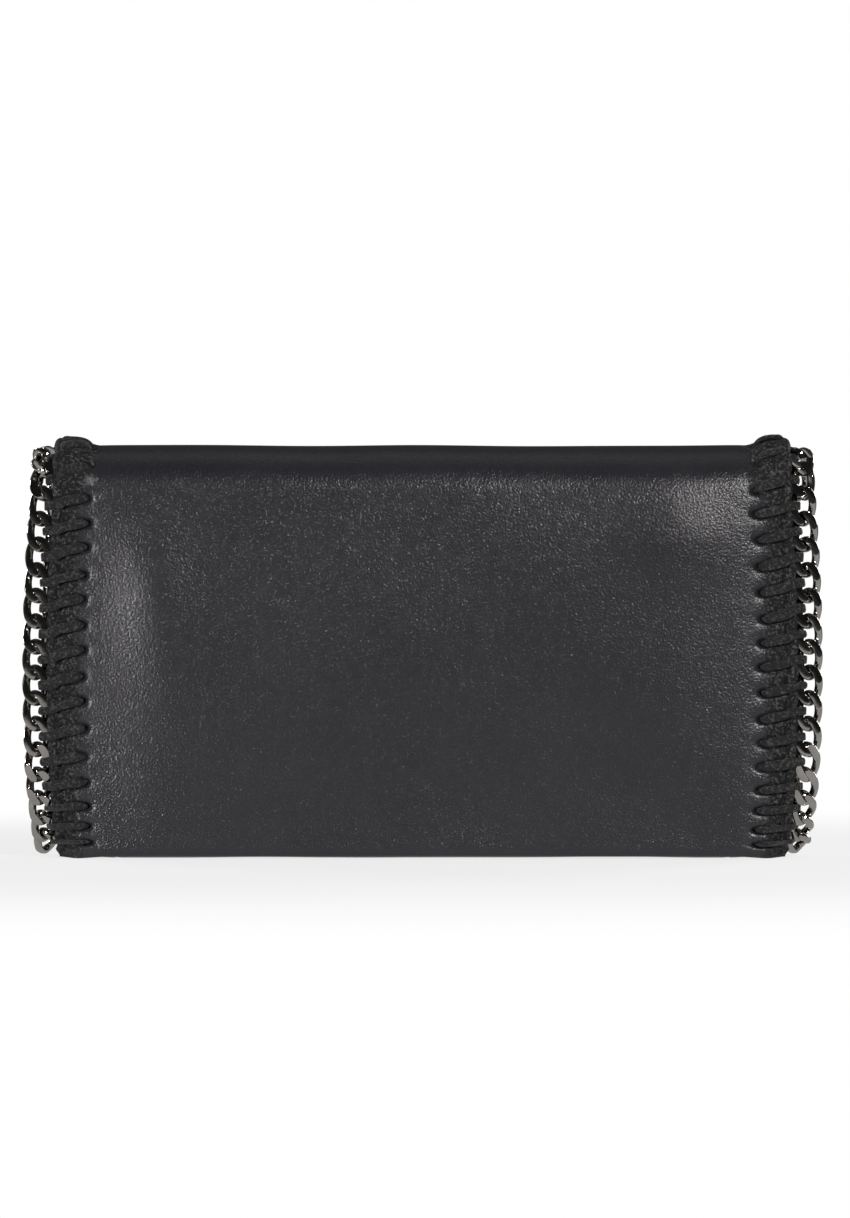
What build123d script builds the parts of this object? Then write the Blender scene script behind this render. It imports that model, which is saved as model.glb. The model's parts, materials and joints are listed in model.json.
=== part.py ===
"""Flap wallet whose flap edges are whip-stitched to a flat curb chain.

Frame: X is the width, Y the depth and Z up. The wallet stands on its base with the flap in front, at -Y.
The leather shell runs from the base up the back, over a round fold and down the front as the flap.
The fold is made of one rigid segment for each pair of chain links on it, so it unrolls as the flap opens.
All sizes are in millimetres.
"""
from build123d import *
import math
import os

# Chain: a curb chain of twisted oval links with flats ground on both faces
PITCH = 6.1
LINK_HALF_WIDTH = 2.2
LINK_HALF_LENGTH = 4.2
LINK_TWIST = 1.5
LINK_FLAT = 1.3
WIRE = 1.6
LINK_SIDES = 12
CHAIN_X_MIDDLE = 92.05
CHAIN_X_END = 90.3
BOW_HEIGHT = 45.0
BOW_REACH = 42.0
FLAP_LINKS = 15
TAIL_FROM = 9.5
TAIL_RADIUS = 29.5

# Fold: its pivots lie on a half circle, one chain pitch apart
FOLD_LINKS = 5
TURN = 180 / FOLD_LINKS
FOLD_RADIUS = PITCH / (2 * math.sin(math.radians(TURN / 2)))
FOLD_APOTHEM = FOLD_RADIUS * math.cos(math.radians(TURN / 2))
HINGE_HEIGHT = 87.0
DEPTH_SHIFT = 0.2
SEGMENT_GAP = 0.3

# Leather shell
LEATHER = 1.1
LINING = 0.7
SHELL_OUT = 1.78
SHELL_HALF_WIDTH = 86.0
FRONT_FACE = DEPTH_SHIFT - FOLD_RADIUS - SHELL_OUT
BACK_FACE = DEPTH_SHIFT + FOLD_RADIUS + SHELL_OUT
FLAP_BOTTOM = 0.5
BACK_CORNER = 6.0
STIFFENER = 0.35

# Lower corners of the flap, which curl back beside the body
BAND_FROM = 83.5
CURL_FROM = 14.0
CURL_RADIUS = 18.0
CURL_TURN = 50.0

# Lace stitches
LACE = 1.0
LACE_WIDTH = 1.9
LACE_LEAN = 9.0
HOLE_X = 81.0
EDGE_ROLL = 1.2

# Body, from the front panel to the back one
FLAP_GAP = 0.45
FRONT_LEATHER = 1.0
FRONT_LINING = 0.6
CARD_STRIP = 0.4
CARD_ROWS = 3
COMPARTMENT = 4.5
COIN_WALL = 0.7
BODY_HALF_WIDTH = 86.0
BODY_CORNER = 18.0
FRONT_TOP = 82.0
FRONT_LOW = 5.0
COIN_TOP = 72.0
COIN_LOW = 3.4

# Base tray
BASE_HALF_WIDTH = 70.0
BASE_FRONT_RADIUS = 5.0
BASE_BACK_RADIUS = 4.5
BASE_FRONT_LIP = 4.0
BASE_BACK_LIP = 8.0

# Card pockets
CARD_TOP = 78.0
CARD_STEP = 8.0
CARD_DEPTH = 42.0
CARD_INSET = 2.0

# Gussets
GUSSET = 0.5
GUSSET_DEPTH = 7.0
GUSSET_LOW = 20.0
GUSSET_TOP = 70.0

# Zip
ZIP_LEFT = -72.0
ZIP_RIGHT = 74.0
TEETH_GAP = 1.0
TOOTH_WIDTH = 1.1
TOOTH_LENGTH = 1.2
TOOTH_HEIGHT = 1.2
TOOTH_PITCH = 2.0
TAPE = 0.4
SLIDER_X = -68.0
SLIDER_LENGTH = 8.0
SLIDER_PLATE = 0.7
PULL_LENGTH = 13.5
PULL_WIDTH = 3.6
PULL_THICKNESS = 0.8

# Press snap
SNAP_Z = 20.0
SOCKET_RADIUS = 5.5
SOCKET_BORE = 2.6
STUD_RADIUS = 5.0
KNOB_RADIUS = 2.0
KNOB_LENGTH = 0.85
FIT_GAP = 0.1

# Depths that follow from the sizes above
LINING_FACE = FRONT_FACE + LEATHER + LINING
PANEL_FACE = LINING_FACE + FLAP_GAP
CARDS = CARD_STRIP * CARD_ROWS
FRONT_INNER = PANEL_FACE + FRONT_LEATHER + FRONT_LINING + CARDS
COIN_FRONT = FRONT_INNER + COMPARTMENT
COIN_INNER = COIN_FRONT + COIN_WALL
COIN_REAR = COIN_INNER + COMPARTMENT
COIN_BACK = COIN_REAR + COIN_WALL
REAR_CARDS = COIN_BACK + COMPARTMENT
REAR_LINING = REAR_CARDS + CARDS
COIN_MIDDLE = (COIN_INNER + COIN_REAR) / 2


def block(x_low, x_high, y_low, y_high, z_low, z_high):
    """A box between two corners."""
    size = Box(x_high - x_low, y_high - y_low, z_high - z_low)
    return Pos((x_low + x_high) / 2, (y_low + y_high) / 2, (z_low + z_high) / 2) * size


def wall(half_width, y_front, thickness, z_low, z_high, corner):
    """An upright sheet across the wallet, with its two lower corners rounded."""
    outline = Pos(0, (z_low + z_high) / 2) * Rectangle(2 * half_width, z_high - z_low)
    outline = fillet(outline.vertices().sort_by(Axis.Y)[:2], corner)
    plane = Plane(origin=(0, y_front + thickness, 0), x_dir=(1, 0, 0), z_dir=(0, -1, 0))
    return extrude(plane * outline, amount=thickness)


def across(profile, x_low, x_high):
    """Extrude a profile, drawn with depth to the right and height up, from x_low to x_high."""
    plane = Plane(origin=(x_low, 0, 0), x_dir=(0, 1, 0), z_dir=(1, 0, 0))
    return extrude(plane * profile, amount=x_high - x_low)


def disc(radius, y_front, y_back, z):
    """A round plate facing along the depth, on the wallet's centre line."""
    cylinder = Cylinder(radius, y_back - y_front)
    return Pos(0, (y_front + y_back) / 2, z) * Rot(90, 0, 0) * cylinder


def chain_x(z):
    """Distance of the chain from the centre line: its run bows outward at mid height."""
    bow = ((z - BOW_HEIGHT) / BOW_REACH) ** 2
    return CHAIN_X_MIDDLE - (CHAIN_X_MIDDLE - CHAIN_X_END) * min(bow, 1)


def link_point(turn):
    """A point on the twisted oval centre line of one link."""
    x = LINK_HALF_WIDTH * math.cos(turn)
    y = -LINK_TWIST * math.sin(2 * turn)
    z = LINK_HALF_LENGTH * math.sin(turn)
    return Vector(x, y, z)


def curb_link():
    """One upright link: round wire along the twisted oval, with both faces ground flat."""
    corners = [link_point(2 * math.pi * (i + 0.5) / LINK_SIDES) for i in range(LINK_SIDES)]
    pieces = []
    for start, end in zip(corners, corners[1:] + corners[:1]):
        side = end - start
        pieces.append(Solid.make_cylinder(WIRE / 2, side.length, Plane(origin=start, z_dir=side)))
        pieces.append(Pos(*start) * Sphere(WIRE / 2))
    slab = Box(4 * LINK_HALF_WIDTH, 2 * LINK_FLAT, 4 * LINK_HALF_LENGTH)
    return (Part() + pieces) & slab


def lace_hook(side, chain_x_here, hole_x):
    """One stitch: over the leather from its hole, round the link's inner bar and back behind it."""
    bar = chain_x_here - LINK_HALF_WIDTH
    over = bar + WIRE / 2 + 0.2
    low = SHELL_OUT
    behind = LINK_FLAT + 0.2
    half = LACE_WIDTH / 2
    front = block(hole_x, over + LACE, -low - LACE, -low, -half, half)
    through = block(over, over + LACE, -low, behind, -half, half)
    back = block(bar - 1.2, over + LACE, behind, behind + LACE, -half, half)
    hook = Pos(-bar, 0, 0) * (front + through + back)
    if side < 0:
        hook = mirror(hook, about=Plane.YZ)
    return Pos(side * bar, 0, 0) * Rot(0, -LACE_LEAN, 0) * hook


def flap_places():
    """Where each flap link sits: its depth, its height and how far it leans back."""
    places = []
    for index in range(FLAP_LINKS):
        run = (index + 0.5) * PITCH
        turn = max(0.0, run - TAIL_FROM * PITCH) / TAIL_RADIUS
        straight = min(run, TAIL_FROM * PITCH)
        y = DEPTH_SHIFT - FOLD_RADIUS + TAIL_RADIUS * (1 - math.cos(turn))
        z = HINGE_HEIGHT - straight - TAIL_RADIUS * math.sin(turn)
        places.append((y, z, math.degrees(turn)))
    return places


def fold_place(number):
    """The placement of fold segment 1 (at the back) to 5 (at the front)."""
    angle = TURN * (number - 0.5)
    y = DEPTH_SHIFT + FOLD_APOTHEM * math.cos(math.radians(angle))
    z = HINGE_HEIGHT + FOLD_APOTHEM * math.sin(math.radians(angle))
    return Pos(0, y, z) * Rot(angle - 180, 0, 0)


def flap_sheet(y_front, thickness, z_low):
    """A sheet of the flap: flat in the middle, with side bands that curl back at the bottom."""
    top = HINGE_HEIGHT - SEGMENT_GAP / 2
    middle = wall(BAND_FROM, y_front, thickness, z_low, top, 1.0)
    radius = CURL_RADIUS - (y_front - FRONT_FACE)
    centre = (FRONT_FACE + CURL_RADIUS, CURL_FROM)
    ring = Circle(radius) - Circle(radius - thickness)
    reach = 2 * CURL_RADIUS
    end = math.radians(CURL_TURN)
    wedge = Polyline((0, 0), (-reach, 0), (-reach * math.cos(end), -reach * math.sin(end)), close=True)
    curl = Pos(*centre) * (ring & make_face(wedge))
    straight = Pos(y_front + thickness / 2, (CURL_FROM + top) / 2) * Rectangle(thickness, top - CURL_FROM)
    band = straight + curl
    right = across(band, BAND_FROM, SHELL_HALF_WIDTH)
    left = across(band, -SHELL_HALF_WIDTH, -BAND_FROM)
    return middle + left + right


def flap_leather():
    return flap_sheet(FRONT_FACE, LEATHER, FLAP_BOTTOM)


def flap_lining():
    sheet = flap_sheet(FRONT_FACE + LEATHER, LINING, FLAP_BOTTOM + 1)
    return sheet - disc(SOCKET_RADIUS + FIT_GAP, FRONT_FACE, PANEL_FACE, SNAP_Z)


def snap_socket():
    front = FRONT_FACE + LEATHER
    back = LINING_FACE + FIT_GAP
    return disc(SOCKET_RADIUS, front, back, SNAP_Z) - disc(SOCKET_BORE, front - 1, back + 1, SNAP_Z)


def snap_stud():
    base = disc(STUD_RADIUS, PANEL_FACE, PANEL_FACE + FRONT_LEATHER, SNAP_Z)
    return base + disc(KNOB_RADIUS, PANEL_FACE - KNOB_LENGTH, PANEL_FACE, SNAP_Z)


def flap_chain(side, link):
    pieces = []
    for y, z, lean in flap_places():
        pieces.append(Pos(side * chain_x(z), y, z) * Rot(lean, 0, 0) * link)
    return pieces


def flap_laces(side):
    pieces = []
    for y, z, lean in flap_places()[:-1]:
        hole_x = HOLE_X if lean == 0 else SHELL_HALF_WIDTH + EDGE_ROLL + 0.1
        pieces.append(Pos(0, y, z) * Rot(lean, 0, 0) * lace_hook(side, chain_x(z), hole_x))
    return pieces


def edge_cord(side):
    """The rolled edge that runs down the flap's side, outside the leather sheet."""
    length = HINGE_HEIGHT - CURL_FROM
    y = DEPTH_SHIFT - FOLD_RADIUS - SHELL_OUT / 2
    roll = Box(EDGE_ROLL, SHELL_OUT, length - 1)
    return Pos(side * (SHELL_HALF_WIDTH + EDGE_ROLL / 2), y, CURL_FROM + length / 2) * roll


def fold_sheet(inner, outer):
    half = (PITCH - SEGMENT_GAP) / 2
    return block(-SHELL_HALF_WIDTH, SHELL_HALF_WIDTH, -outer, -inner, -half, half)


def back_panel():
    top = HINGE_HEIGHT - SEGMENT_GAP / 2
    return wall(SHELL_HALF_WIDTH, BACK_FACE - LEATHER, LEATHER, BASE_BACK_LIP, top, BACK_CORNER)


def back_stiffener():
    low = BASE_BACK_LIP + 4
    top = HINGE_HEIGHT - 4
    return wall(SHELL_HALF_WIDTH - 3, BACK_FACE - LEATHER - STIFFENER, STIFFENER, low, top, BACK_CORNER)


def back_lining():
    top = HINGE_HEIGHT - SEGMENT_GAP / 2
    return wall(SHELL_HALF_WIDTH - 1, REAR_LINING, LINING, BASE_BACK_LIP, top, BACK_CORNER)


def tray_profile(shrink, height):
    """The base tray's cross-section outline, drawn in from its outside by shrink."""
    width = BACK_FACE - PANEL_FACE - 2 * shrink
    middle = (BACK_FACE + PANEL_FACE) / 2
    outline = Pos(middle, height / 2 + shrink) * Rectangle(width, height)
    low = outline.vertices().sort_by(Axis.Y)[:2].sort_by(Axis.X)
    outline = fillet(low[0], BASE_FRONT_RADIUS - shrink)
    low = outline.vertices().sort_by(Axis.Y)[:4].sort_by(Axis.X)
    return fillet(low[-1], BASE_BACK_RADIUS - shrink)


def base_panel():
    height = 3 * BASE_BACK_LIP
    tray = tray_profile(0, height) - tray_profile(LEATHER, height)
    keep = Pos(BACK_FACE - 6, BASE_BACK_LIP / 2) * Rectangle(12, BASE_BACK_LIP)
    keep += Pos(0, BASE_FRONT_LIP / 2) * Rectangle(40, BASE_FRONT_LIP)
    return across(tray & keep, -BASE_HALF_WIDTH, BASE_HALF_WIDTH)


def card_pockets(y_wall, towards):
    """Three rows of two card pockets, each row in front of and below the one behind it."""
    pieces = []
    for row in range(CARD_ROWS):
        near = y_wall + towards * row * CARD_STRIP
        far = near + towards * CARD_STRIP
        top = CARD_TOP - row * CARD_STEP
        for side in (-1, 1):
            ends = sorted((side * CARD_INSET / 2, side * (BODY_HALF_WIDTH - CARD_INSET)))
            pieces.append(block(*ends, *sorted((near, far)), top - CARD_DEPTH, top))
    return pieces


def front_panel():
    sheet = wall(BODY_HALF_WIDTH, PANEL_FACE, FRONT_LEATHER, FRONT_LOW, FRONT_TOP, BODY_CORNER)
    return sheet - disc(STUD_RADIUS + FIT_GAP, PANEL_FACE - 1, PANEL_FACE + FRONT_LEATHER, SNAP_Z)


def front_lining():
    front = PANEL_FACE + FRONT_LEATHER
    return wall(BODY_HALF_WIDTH - 1, front, FRONT_LINING, FRONT_LOW, FRONT_TOP, BODY_CORNER)


def coin_wall(y_front):
    return wall(BODY_HALF_WIDTH - 1, y_front, COIN_WALL, COIN_LOW, COIN_TOP, BODY_CORNER)


def coin_sides():
    """The two strips that close the coin pocket's sides."""
    pieces = []
    for side in (-1, 1):
        ends = sorted((side * (BODY_HALF_WIDTH - 2.5), side * (BODY_HALF_WIDTH - 2)))
        pieces.append(block(*ends, COIN_INNER, COIN_REAR, GUSSET_LOW, COIN_TOP))
    return pieces


def coin_floor():
    half = BODY_HALF_WIDTH - BODY_CORNER - 1
    return block(-half, half, COIN_INNER, COIN_REAR, COIN_LOW, COIN_LOW + COIN_WALL)


def zip_tape(side):
    """One of the two tapes that close the coin pocket's mouth, on top of its walls."""
    near = COIN_MIDDLE + side * TEETH_GAP / 2
    far = COIN_MIDDLE + side * (COMPARTMENT / 2 + COIN_WALL)
    half = BODY_HALF_WIDTH - 2
    return block(-half, half, *sorted((near, far)), COIN_TOP, COIN_TOP + TAPE)


def zip_teeth(side):
    """One row of teeth on the edge of its tape, half a step along from the other row."""
    near = COIN_MIDDLE + side * TEETH_GAP / 2
    far = near + side * TOOTH_WIDTH
    low = COIN_TOP + TAPE
    count = int((ZIP_RIGHT - ZIP_LEFT) / TOOTH_PITCH)
    pieces = []
    for index in range(count):
        x = ZIP_LEFT + (index + 0.5 + 0.25 * side) * TOOTH_PITCH
        ends = (x - TOOTH_LENGTH / 2, x + TOOTH_LENGTH / 2)
        pieces.append(block(*ends, *sorted((near, far)), low, low + TOOTH_HEIGHT))
    return pieces


def zip_stops():
    """The stops that close both ends of the zip, across the two tapes."""
    low = COIN_TOP + TAPE
    reach = TEETH_GAP / 2 + TOOTH_WIDTH
    pieces = []
    for x in (ZIP_LEFT - 1.5, ZIP_RIGHT + 1.5):
        pieces.append(block(x - 1, x + 1, COIN_MIDDLE - reach, COIN_MIDDLE + reach, low, low + TOOTH_HEIGHT))
    return pieces


def zip_slider():
    """Two plates joined by a narrow web that runs between the rows of teeth, with a bail on top."""
    teeth_top = COIN_TOP + TAPE + TOOTH_HEIGHT
    top_low = teeth_top + 0.3
    top_high = top_low + SLIDER_PLATE
    low_high = COIN_TOP - 0.3
    half = SLIDER_LENGTH / 2
    ends = (SLIDER_X - half, SLIDER_X + half)
    body = block(*ends, COIN_MIDDLE - 2.4, COIN_MIDDLE + 2.4, top_low, top_high)
    body += block(*ends, COIN_MIDDLE - 1.7, COIN_MIDDLE + 1.7, low_high - SLIDER_PLATE, low_high)
    body += block(*ends, COIN_MIDDLE - 0.3, COIN_MIDDLE + 0.3, low_high, top_low)
    bail = block(SLIDER_X - 2.4, SLIDER_X + 2.4, COIN_MIDDLE - 0.6, COIN_MIDDLE + 0.6, top_high, top_high + 1.9)
    bail -= block(SLIDER_X - 1.6, SLIDER_X + 1.6, COIN_MIDDLE - 1, COIN_MIDDLE + 1, top_high, top_high + 1.3)
    return body + bail


def pull_axis():
    """Height of the pin that the zip pull turns on."""
    return COIN_TOP + TAPE + TOOTH_HEIGHT + 0.3 + SLIDER_PLATE + 0.65


def zip_pull():
    """A flat tab with two arms, joined by the pin that turns in the slider's bail."""
    axis = pull_axis()
    half = PULL_WIDTH / 2
    thick = PULL_THICKNESS / 2
    arm = 0.95
    pin = Pos(SLIDER_X, COIN_MIDDLE, axis) * Rot(90, 0, 0) * Cylinder(thick, PULL_WIDTH)
    far = SLIDER_X - PULL_LENGTH
    tab = block(far, SLIDER_X - 3.5, COIN_MIDDLE - half, COIN_MIDDLE + half, axis - thick, axis + thick)
    pull = pin + tab
    for side in (-1, 1):
        ends = sorted((COIN_MIDDLE + side * half, COIN_MIDDLE + side * (half - arm)))
        pull += block(SLIDER_X - 3.6, SLIDER_X, *ends, axis - thick, axis + thick)
    return pull


def gusset(side, y_front, y_back):
    """A side gusset: one pleat folded inward between two panels."""
    edge = side * (BODY_HALF_WIDTH - 1.5)
    crease = edge - side * GUSSET_DEPTH
    middle = (y_front + y_back) / 2
    shift = side * 3 * GUSSET
    pleat = Polyline(
        (edge, y_front + 0.1),
        (crease, middle),
        (edge, y_back - 0.1),
        (edge, y_back - 0.1 - GUSSET),
        (crease + shift, middle),
        (edge, y_front + 0.1 + GUSSET),
        close=True,
    )
    return Pos(0, 0, GUSSET_LOW) * extrude(make_face(pleat), amount=GUSSET_TOP - GUSSET_LOW)


def save(name, shape):
    """Write one sub-part: a single solid, or a group of separate ones."""
    pieces = shape if isinstance(shape, list) else [shape]
    solids = [solid for piece in pieces for solid in piece.solids()]
    export_step(Compound(children=solids), f"parts/{name}.step")


def save_shell():
    save("back_panel", back_panel())
    save("back_stiffener", back_stiffener())
    save("back_lining", back_lining())
    save("base_panel", base_panel())
    save("rear_card_pockets", card_pockets(REAR_LINING, -1))


def save_fold(link):
    for number in range(1, FOLD_LINKS + 1):
        place = fold_place(number)
        save(f"fold_leather_{number}", place * fold_sheet(SHELL_OUT - LEATHER, SHELL_OUT))
        save(f"fold_lining_{number}", place * fold_sheet(SHELL_OUT - LEATHER - LINING, SHELL_OUT - LEATHER))
        links = [place * Pos(side * CHAIN_X_END, 0, 0) * link for side in (-1, 1)]
        save(f"fold_chain_{number}", links)
        save(f"fold_laces_{number}", [place * lace_hook(side, CHAIN_X_END, HOLE_X) for side in (-1, 1)])


def save_flap(link):
    save("flap_leather", flap_leather())
    save("flap_lining", flap_lining())
    save("snap_socket", snap_socket())
    for side, name in ((-1, "left"), (1, "right")):
        save(f"chain_{name}", flap_chain(side, link))
        save(f"laces_{name}", flap_laces(side))
        save(f"edge_cord_{name}", edge_cord(side))


def save_coin_pocket():
    save("coin_front_wall", coin_wall(COIN_FRONT))
    save("coin_rear_wall", coin_wall(COIN_REAR))
    save("coin_sides", coin_sides())
    save("coin_floor", coin_floor())
    for side, name in ((-1, "front"), (1, "rear")):
        save(f"zip_tape_{name}", zip_tape(side))
        save(f"zip_teeth_{name}", zip_teeth(side))
    save("zip_stops", zip_stops())
    save("zip_slider", zip_slider())
    save("zip_pull", zip_pull())


def save_front_panel():
    save("front_panel", front_panel())
    save("front_lining", front_lining())
    save("front_card_pockets", card_pockets(PANEL_FACE + FRONT_LEATHER + FRONT_LINING, 1))
    save("snap_stud", snap_stud())


def save_gussets():
    for side, name in ((-1, "left"), (1, "right")):
        save(f"gusset_front_{name}", gusset(side, FRONT_INNER, COIN_FRONT))
        save(f"gusset_rear_{name}", gusset(side, COIN_BACK, REAR_CARDS))


os.makedirs("parts", exist_ok=True)
chain_link = curb_link()
save_shell()
save_fold(chain_link)
save_flap(chain_link)
save_coin_pocket()
save_front_panel()
save_gussets()
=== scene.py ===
"""Looks for the chain-trimmed flap wallet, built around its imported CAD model.

Shapes are in millimetres and are scaled once, when a mesh is made. Materials, lights and the camera are in metres.
Skin coordinates: x is the width, n the distance outward from the chain's own plane, and c counts chain pitches
along the shell. c is 0 at the fold's front pivot, grows down the flap and is -5 at the fold's rear pivot, so
link centres and stitches lie at whole numbers plus a half.
"""
import bpy
import bmesh
import json
import math
import random
import numpy as np
from mathutils import Matrix, Vector

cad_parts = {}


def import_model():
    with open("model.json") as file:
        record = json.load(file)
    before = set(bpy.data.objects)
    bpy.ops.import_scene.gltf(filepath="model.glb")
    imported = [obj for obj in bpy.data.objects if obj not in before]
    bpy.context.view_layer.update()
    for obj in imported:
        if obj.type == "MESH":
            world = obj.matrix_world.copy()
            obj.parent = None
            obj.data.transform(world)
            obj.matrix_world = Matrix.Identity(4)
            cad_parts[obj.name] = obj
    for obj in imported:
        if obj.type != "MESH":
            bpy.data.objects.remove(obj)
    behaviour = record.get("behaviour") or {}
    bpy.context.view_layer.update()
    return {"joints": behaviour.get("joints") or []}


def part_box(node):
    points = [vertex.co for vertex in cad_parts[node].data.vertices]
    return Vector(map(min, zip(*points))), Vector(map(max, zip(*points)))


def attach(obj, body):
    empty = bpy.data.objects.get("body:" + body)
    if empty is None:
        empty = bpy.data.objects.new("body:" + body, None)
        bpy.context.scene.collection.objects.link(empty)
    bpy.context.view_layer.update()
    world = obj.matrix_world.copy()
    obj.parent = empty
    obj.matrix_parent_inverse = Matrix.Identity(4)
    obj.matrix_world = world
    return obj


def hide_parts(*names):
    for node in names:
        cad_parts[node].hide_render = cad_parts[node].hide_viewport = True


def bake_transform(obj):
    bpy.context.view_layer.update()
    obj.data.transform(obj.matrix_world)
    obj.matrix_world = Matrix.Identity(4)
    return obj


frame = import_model()

MM = 0.001
LINKS_ON_FOLD = 5
LINKS_ON_FLAP = 15
STEP = math.pi / LINKS_ON_FOLD
SIDES = ((-1, "left"), (1, "right"))


def box_mm(node):
    low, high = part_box(node)
    return low / MM, high / MM


# ---------------------------------------------------------------- sizes, read from the frame where it has them
joints = {joint["name"]: joint for joint in frame["joints"]}
fold_joints = ["flap_open"] + [f"fold_bend_{i}" for i in range(1, 6)]
pivots = [Vector(joints[name]["pos_m"]) / MM for name in fold_joints]
PITCH = (pivots[1] - pivots[0]).length
MID_Y = (pivots[0].y + pivots[-1].y) / 2
TOP_Z = pivots[0].z
SKIN_TOP = TOP_Z - PITCH / 2  # where the fold's skins meet the flap's and the back's
RADIUS = (pivots[0].y - pivots[-1].y) / 2
APOTHEM = RADIUS * math.cos(STEP / 2)
FLAP_Y = MID_Y - RADIUS
BACK_Y = MID_Y + RADIUS
OUT = FLAP_Y - box_mm("flap_leather")[0].y  # the leather's outer face above the chain's plane

LEATHER = 1.1  # thicknesses
LINING = 0.7
FLAP_LOW = 0.45  # the flap's lower edge
LOW_CORNER = 1.8
LOW_ROUND = 0.55
LOW_ZONE = 3.0  # above it, a finely divided zone, where the leather thins and its corners hang lower
LOW_THIN = 0.55
LOW_SAG = 0.45

LINK_A = 2.25  # a link's half width, half length, twist, wire and ground flats
LINK_B = 4.05
LINK_H = 1.05
WIRE_R = 0.95
LINK_FLAT = 1.28
CHAIN_X_MID = 0.35 - box_mm("chain_left")[0].x - LINK_A - WIRE_R
CHAIN_X_END = CHAIN_X_MID - 1.75
BOW_Z = 45.0  # the sides bow outward about this height
BOW_REACH = 42.0

TAIL_FROM = 9.5  # below this pitch the chain curls back, on this radius
TAIL_RADIUS = 29.5
TAIL_Z = TOP_Z - TAIL_FROM * PITCH
CURL_FROM = (81.0, 88.3)  # the leather's corners follow it in two steps: from, over
CURL_OVER = (7.3, 1.5)

EDGE_IN = 2.95  # from the chain's middle line in to the leather's edge and holes
HOLE_IN = 10.7
LEAN = 2.4  # how far a stitch slants

ROLL = 1.05  # the rolled edge: its radius, and where its middle lies
ROLL_N = 0.85
CENTRE_COLUMNS = 76
EDGE_ZONE = 13.0  # width of the finely divided edge
GROOVE = 0.75  # the groove behind the roll
GROOVE_IN = 2.45
GROOVE_REACH = 0.5
EDGE_SWELL = 0.45  # the edge stands out between the links' bars
HUMP = 1.75  # the bunched leather at the fold's corners, and where it rises: from, over
HUMP_SIDE = (77.0, 6.0)
RELIEF_IN = (1.2, 2.0)  # the outer face's relief starts this far inside the edge: from, over

HOLE_DENT = 1.6  # depths: dent at a hole, pull round it, crease under the stitch
HOLE_PULL = 0.3
STITCH_CREASE = 0.5

PUFF = 1.7  # the flap's middle stands proud
LEFT_FALL = (56.0, 26.0)  # it falls to each edge: from, over
LEFT_FALL_LOW = (62.0, 20.0)
LEFT_FALL_CHANGES = 50.0
RIGHT_FALL = (58.0, 24.0)
RIGHT_FALL_STEEP = (74.0, 8.0)
TOP_FALL = 9.5  # and over this many pitches to the fold, fewer at the right
TOP_FALL_LESS = 5.0
TOP_FALL_FROM = -1.3
LOW_FALL = 55.0
LEFT_DOME = ((-65.0, 8.5), (62.0, 17.0))  # fuller places: (x, reach), (z, reach)
RIGHT_DOME = ((60.0, 14.0), (79.0, 12.0))
RIGHT_DOME_HIGH = 0.8

LACE_WIDE = 1.15  # half sizes of a lace's section, and its divisions
LACE_THICK = 0.62
LACE_STEPS = 34
LACE_RING = 14

LINING_IN = 3.4  # the cloth stops this far inside the leather's edge
LINING_LOW = 1.5
SOCKET_HOLE = 4.2
PANEL_CORNER = 18  # lower corners of the panels, and of the back's layers
BACK_CORNER = 6
SEAM_IN = 2.2


# ---------------------------------------------------------------- small maths
def smooth(t):
    t = np.clip(t, 0.0, 1.0)
    return t * t * (3 - 2 * t)


def rise(value, start, over):
    """0 up to start, 1 from start + over on, smooth between them."""
    return smooth((value - start) / over)


def bell(value, middle, reach):
    return np.exp(-(((value - middle) / reach) ** 2))


def unit(rows):
    """Vectors in rows, scaled to length 1."""
    return rows / np.linalg.norm(rows, axis=-1, keepdims=True)


def around(count):
    """Cosine and sine of angles spread evenly over a turn."""
    return [(math.cos(a), math.sin(a)) for a in np.linspace(0, 2 * math.pi, count, endpoint=False)]


def power(value, exponent):
    """A power that keeps the sign, to square off a circle."""
    return math.copysign(abs(value) ** exponent, value)


def chain_x(z):
    """Distance of the chain from the middle at height z: the sides bow outward."""
    bow = np.minimum(((np.asarray(z, float) - BOW_Z) / BOW_REACH) ** 2, 1.0)
    return CHAIN_X_MID - (CHAIN_X_MID - CHAIN_X_END) * bow


def tail_turn(z):
    """How far the chain leans back at height z, in radians."""
    return np.arcsin(np.clip((TAIL_Z - np.asarray(z, float)) / TAIL_RADIUS, 0.0, 0.98))


def tail_back(z):
    return TAIL_RADIUS * (1 - np.cos(tail_turn(z)))


def pitch_at(z):
    """The pitch count c at height z on the flap."""
    z = np.asarray(z, float)
    return np.where(z > TAIL_Z, (TOP_Z - z) / PITCH, TAIL_FROM + TAIL_RADIUS * tail_turn(z) / PITCH)


def height_at(c):
    """The height of pitch count c on the flap."""
    turn = max(0.0, c - TAIL_FROM) * PITCH / TAIL_RADIUS
    return TOP_Z - min(c, TAIL_FROM) * PITCH - TAIL_RADIUS * math.sin(turn)


def curl(x, z):
    """How far the flap's lower corners lie behind its plane: all of the tail's depth at the chain."""
    return sum(0.5 * rise(np.abs(x), start, over) for start, over in zip(CURL_FROM, CURL_OVER)) * tail_back(z)


def on_flap(x, z, n):
    """Points on the flap."""
    return np.stack(np.broadcast_arrays(x, FLAP_Y - n + curl(x, z), z), -1)


def on_fold(x, c, n):
    """Points on the fold's round part."""
    angle = math.pi + c * STEP
    y = MID_Y + (RADIUS + n) * np.cos(angle)
    z = TOP_Z + (RADIUS + n) * np.sin(angle)
    return np.stack(np.broadcast_arrays(x, y, z), -1)


def place_row(x, c, n):
    """A row of points at pitch count c: on the flap, the fold or the back."""
    if c > 0:
        return on_flap(x, TOP_Z - c * PITCH, n)
    if c < -LINKS_ON_FOLD:
        drop = (-LINKS_ON_FOLD - c) * PITCH
        return np.stack([x, BACK_Y + n, np.full_like(x, TOP_Z - drop)], -1)
    return on_fold(x, c, n)


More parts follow.
